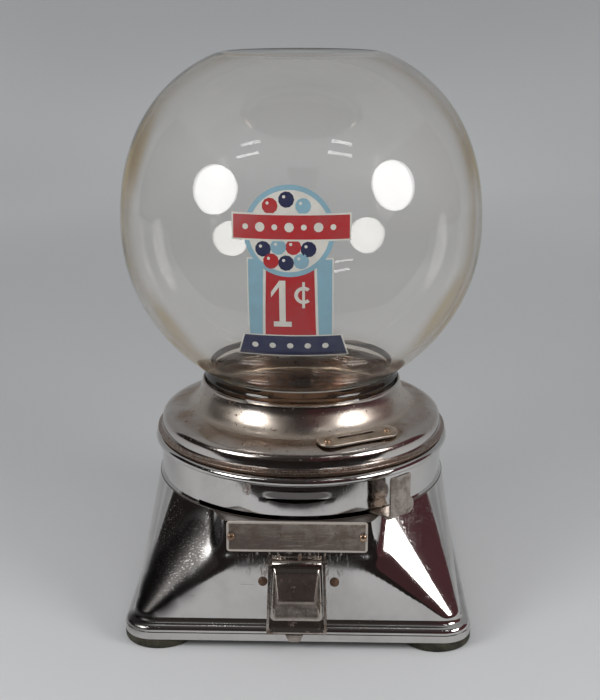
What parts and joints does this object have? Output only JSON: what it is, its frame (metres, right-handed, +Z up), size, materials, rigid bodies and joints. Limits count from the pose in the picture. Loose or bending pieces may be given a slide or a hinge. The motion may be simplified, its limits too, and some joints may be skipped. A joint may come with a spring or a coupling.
{
  "type": "gumball machine",
  "caption": "Countertop coin-operated gumball machine: glass globe on a round pressed neck, square flared chromed base with a coin lever, gum wheel and a flap over the gum chute.",
  "frame": {"origin": "on the ground, at the middle of the machine's bounding box in plan within a few millimetres, on the axis of the centre post", "axes": "+Z up; the customer's side with the lever, coin slot and gum flap faces -Y; +X is to the right seen from the front"},
  "size_m": [0.1828, 0.1828, 0.28],
  "materials": {
    "chrome": "polished chrome plate, worn and tarnished in places",
    "worn_nickel": "scratched nickel plate",
    "bare_steel": "plain steel",
    "rusty_steel": "rusted steel",
    "coppered_steel": "copper-washed steel",
    "brass": "turned brass",
    "painted_steel": "black paint",
    "rubber": "matt moulded rubber",
    "glass": "clear blown glass"
  },
  "bodies": {
    "housing": {"base_shell": "chrome", "bottom_plate": "painted_steel", "centre_post": "bare_steel", "coin_guide": "bare_steel", "coin_plate": "worn_nickel", "coin_rivet_left": "worn_nickel", "coin_rivet_right": "worn_nickel", "detent_spring": "bare_steel", "door_frame": "chrome", "foot_front_left": "rubber", "foot_front_right": "rubber", "foot_nut_front_left": "bare_steel", "foot_nut_front_right": "bare_steel", "foot_nut_rear_left": "bare_steel", "foot_nut_rear_right": "bare_steel", "foot_rear_left": "rubber", "foot_rear_right": "rubber", "foot_screw_front_left": "bare_steel", "foot_screw_front_right": "bare_steel", "foot_screw_rear_left": "bare_steel", "foot_screw_rear_right": "bare_steel", "frame_rivet_left": "rusty_steel", "frame_rivet_right": "rusty_steel", "globe_gasket": "rubber", "gum_chute": "bare_steel", "hinge_pin": "chrome", "hopper_funnel": "coppered_steel", "lever_washer": "brass", "lock_barrel": "chrome", "lock_hook": "bare_steel", "lock_nut": "bare_steel", "lower_post_nut": "bare_steel", "mech_pan": "coppered_steel", "name_plate": "worn_nickel", "outlet_hood": "coppered_steel", "plate_rivet_left": "worn_nickel", "plate_rivet_right": "worn_nickel", "return_spring": "bare_steel", "top_head": "chrome", "upper_post_nut": "bare_steel"},
    "lever": {"lever_arm": "worn_nickel", "lever_bush": "brass", "coin_cradle": "bare_steel"},
    "wheel": {"gum_wheel": "coppered_steel", "wheel_hub": "brass", "drive_ring": "bare_steel"},
    "door": {"chute_door": "chrome"},
    "lock": {"lock_plug": "brass", "lock_cam": "bare_steel"},
    "globe": {"globe": "glass"}
  },
  "joints": [
    {"name": "lever_swing", "type": "hinge", "parent": "housing", "child": "lever", "pos_m": [0, 0, 0.0647], "axis": [0, 0, -1], "range_deg": [0, 69], "stiffness_Nm_per_rad": 0.05, "springref_deg": -28.65},
    {"name": "wheel_spin", "type": "hinge", "parent": "housing", "child": "wheel", "pos_m": [0, 0, 0.078], "axis": [0, 0, 1], "continuous": true},
    {"name": "door_swing", "type": "hinge", "parent": "housing", "child": "door", "pos_m": [0, -0.08083, 0.0438], "axis": [-1, 0, 0], "range_deg": [0, 65]},
    {"name": "lock_turn", "type": "hinge", "parent": "housing", "child": "lock", "pos_m": [0, 0.07793, 0.04], "axis": [0, -1, 0], "range_deg": [0, 90]},
    {"name": "globe_lift", "type": "slide", "parent": "housing", "child": "globe", "axis": [0, 0, 1], "range_m": [0, 0.045]}
  ]
}
